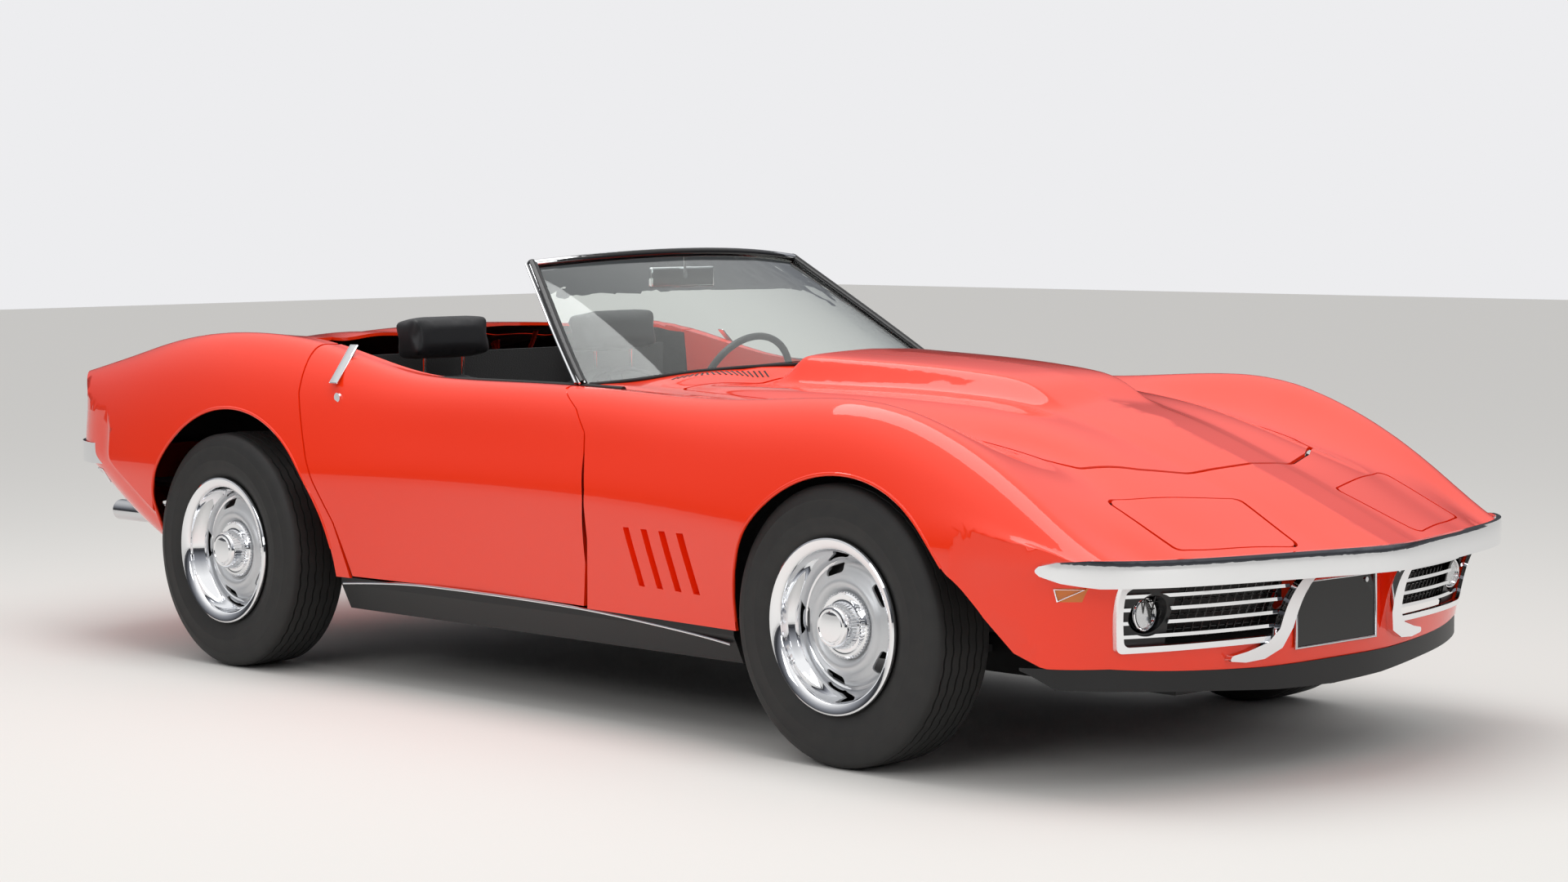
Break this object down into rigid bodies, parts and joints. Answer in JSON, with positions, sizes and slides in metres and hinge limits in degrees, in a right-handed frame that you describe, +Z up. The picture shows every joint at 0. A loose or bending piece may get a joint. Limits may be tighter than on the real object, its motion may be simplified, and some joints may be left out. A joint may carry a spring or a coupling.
{
  "type": "muscle car",
  "caption": "Open two-seat sports car with a long curved bonnet, raised power dome, swelling fenders, pop-up headlamps, chrome bumpers and a short cabin.",
  "frame": {"origin": "On the ground under the middle of the car's length and width.", "axes": "+X forward to the nose, +Y to the car's left side, +Z up."},
  "size_m": [4.6324, 1.749, 1.2027],
  "materials": {
    "body_paint": "bright orange paint under clear coat",
    "bright_metal": "polished chrome",
    "clear_lens": "clear ribbed lens",
    "amber_lens": "amber lens",
    "red_lens": "red lens",
    "black_plastic": "satin black",
    "plate_black": "black enamel, blank",
    "chassis_black": "chassis black",
    "engine_iron": "painted cast iron",
    "exhaust_steel": "dull steel",
    "black_vinyl": "black grained vinyl",
    "dash_black": "soft black",
    "carpet_black": "black carpet and paint",
    "screen_glass": "clear laminated glass",
    "lamp_housing": "lamp housings and lenses",
    "wheel_rim_black": "black rim",
    "tyre_rubber": "black rubber"
  },
  "bodies": {
    "car": {"nose_clip": "body_paint", "rear_clip": "body_paint", "grille_frames": "bright_metal", "grille_bars": "bright_metal", "parking_lamps": "clear_lens", "front_markers": "amber_lens", "chin_spoiler": "black_plastic", "number_plate": "plate_black", "tail_lamps": "red_lens", "rear_markers": "red_lens", "interior_mirror": "bright_metal", "front_suspension": "chassis_black", "rear_suspension": "chassis_black", "engine": "engine_iron", "exhausts": "exhaust_steel", "seat_cushions": "black_vinyl", "seat_backs": "black_vinyl", "headrests": "black_vinyl", "dashboard": "dash_black", "console": "dash_black", "steering_column": "dash_black", "windscreen_frame": "bright_metal", "windscreen": "screen_glass", "front_bumper": "bright_metal", "rear_bumpers": "bright_metal", "chassis_frame": "chassis_black", "floor_tub": "carpet_black", "rockers": "black_plastic"},
    "bonnet": {"bonnet": "body_paint"},
    "rear_lid": {"rear_lid": "body_paint"},
    "door_left": {"door_left": "body_paint"},
    "door_right": {"door_right": "body_paint"},
    "lamps_left": {"lamp_lid_left": "body_paint", "headlamps_left": "lamp_housing"},
    "lamps_right": {"lamp_lid_right": "body_paint", "headlamps_right": "lamp_housing"},
    "knuckle_left": {"knuckle_left": "chassis_black"},
    "knuckle_right": {"knuckle_right": "chassis_black"},
    "steering_wheel": {"steering_wheel": "wheel_rim_black"},
    "steering_linkage": {"steering_linkage": "chassis_black"},
    "front_left": {"tyre_front_left": "tyre_rubber", "wheel_front_left": "bright_metal"},
    "front_right": {"tyre_front_right": "tyre_rubber", "wheel_front_right": "bright_metal"},
    "rear_left": {"tyre_rear_left": "tyre_rubber", "wheel_rear_left": "bright_metal"},
    "rear_right": {"tyre_rear_right": "tyre_rubber", "wheel_rear_right": "bright_metal"}
  },
  "joints": [
    {"name": "steer_right", "type": "hinge", "parent": "car", "child": "knuckle_right", "pos_m": [1.308, -0.655, 0.338], "axis": [0, 0, 1], "range_deg": [-28, 28]},
    {"name": "steer_left", "type": "hinge", "parent": "car", "child": "knuckle_left", "pos_m": [1.308, 0.655, 0.338], "axis": [0, 0, 1], "range_deg": [-28, 28]},
    {"name": "steering_wheel_turn", "type": "hinge", "parent": "car", "child": "steering_wheel", "pos_m": [-0.315, 0.395, 0.772], "axis": [-0.9397, 0, 0.342], "range_deg": [-480, 480]},
    {"name": "linkage_slide", "type": "slide", "parent": "car", "child": "steering_linkage", "axis": [0, 1, 0], "range_m": [-0.07, 0.07]},
    {"name": "spin_front_right", "type": "hinge", "parent": "knuckle_right", "child": "front_right", "pos_m": [1.308, -0.7455, 0.338], "axis": [0, 1, 0], "continuous": true},
    {"name": "spin_rear_right", "type": "hinge", "parent": "car", "child": "rear_right", "pos_m": [-1.181, -0.7545, 0.338], "axis": [0, 1, 0], "continuous": true},
    {"name": "spin_front_left", "type": "hinge", "parent": "knuckle_left", "child": "front_left", "pos_m": [1.308, 0.7455, 0.338], "axis": [0, 1, 0], "continuous": true},
    {"name": "spin_rear_left", "type": "hinge", "parent": "car", "child": "rear_left", "pos_m": [-1.181, 0.7545, 0.338], "axis": [0, 1, 0], "continuous": true},
    {"name": "bonnet_hinge", "type": "hinge", "parent": "car", "child": "bonnet", "pos_m": [2.15, 0, 0.55], "axis": [0, 1, 0], "range_deg": [0, 50]},
    {"name": "rear_lid_hinge", "type": "hinge", "parent": "car", "child": "rear_lid", "pos_m": [-1.55, 0, 0.876], "axis": [0, -1, 0], "range_deg": [0, 60]},
    {"name": "door_left_hinge", "type": "hinge", "parent": "car", "child": "door_left", "pos_m": [0.4, 0.776, 0.55], "axis": [0, 0, -1], "range_deg": [0, 56]},
    {"name": "door_right_hinge", "type": "hinge", "parent": "car", "child": "door_right", "pos_m": [0.4, -0.776, 0.55], "axis": [0, 0, 1], "range_deg": [0, 56]},
    {"name": "lamps_left_hinge", "type": "hinge", "parent": "car", "child": "lamps_left", "pos_m": [1.885, 0.341, 0.642], "axis": [0.3241, -0.9449, -0.0467], "range_deg": [0, 38]},
    {"name": "lamps_right_hinge", "type": "hinge", "parent": "car", "child": "lamps_right", "pos_m": [1.885, -0.341, 0.642], "axis": [-0.3241, -0.9449, 0.0467], "range_deg": [0, 38]}
  ],
  "couplings": [
    {"joint": "steer_left", "follows": "steer_right", "ratio": 1},
    {"joint": "steering_wheel_turn", "follows": "steer_right", "ratio": 17},
    {"joint": "linkage_slide", "follows": "steer_right", "m_per_rad": -0.14}
  ]
}
